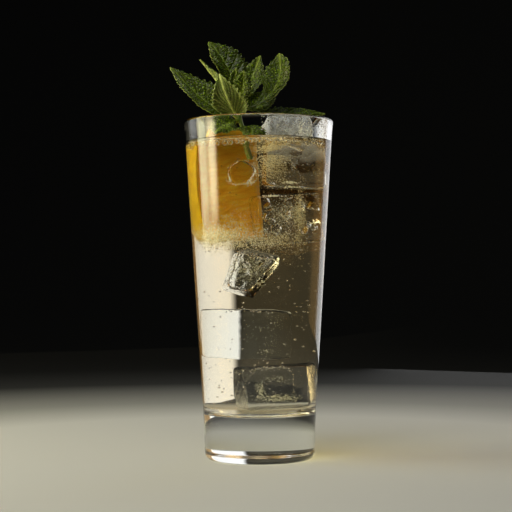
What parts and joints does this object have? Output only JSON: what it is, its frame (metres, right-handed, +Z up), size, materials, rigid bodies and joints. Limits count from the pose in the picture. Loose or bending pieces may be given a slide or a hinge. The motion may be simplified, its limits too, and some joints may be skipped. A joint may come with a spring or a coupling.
{
  "type": "mint-topped highball in a tall glass",
  "caption": "Tall heavy-based glass of pale clear drink over ice, with a citrus wedge and a sprig of fresh mint standing out of the top.",
  "frame": {"origin": "centre of the glass's foot, on the surface that it stands on", "axes": "+Z up along the glass's axis; the picture looks along +Y, so +X is to its right and the citrus and most of the mint are towards -X"},
  "size_m": [0.0774, 0.0708, 0.1991],
  "materials": {
    "glass": "clear pressed glass, fire-polished rim",
    "drink": "clear pale straw-yellow liquid",
    "citrus": "waxy pored rind outside, wet translucent pulp on the cut faces",
    "ice": "wet clear ice with cloudy patches",
    "mint_stem": "satin plant stem",
    "mint_leaf": "softly hairy, deeply veined leaf with a faint sheen"
  },
  "bodies": {
    "root": {"glass": "glass", "drink": "drink", "citrus_wedge": "citrus", "ice_top": "ice", "mint_stem": "mint_stem", "mint_leaf_left": "mint_leaf", "mint_leaf_top": "mint_leaf", "mint_leaf_front": "mint_leaf", "mint_leaf_centre": "mint_leaf", "mint_leaf_right": "mint_leaf", "mint_leaf_far": "mint_leaf", "mint_leaf_thin": "mint_leaf", "mint_leaf_rear": "mint_leaf", "mint_leaf_young": "mint_leaf", "mint_leaf_side": "mint_leaf", "mint_leaf_low_left": "mint_leaf", "mint_leaf_low_right": "mint_leaf"}
  },
  "joints": []
}
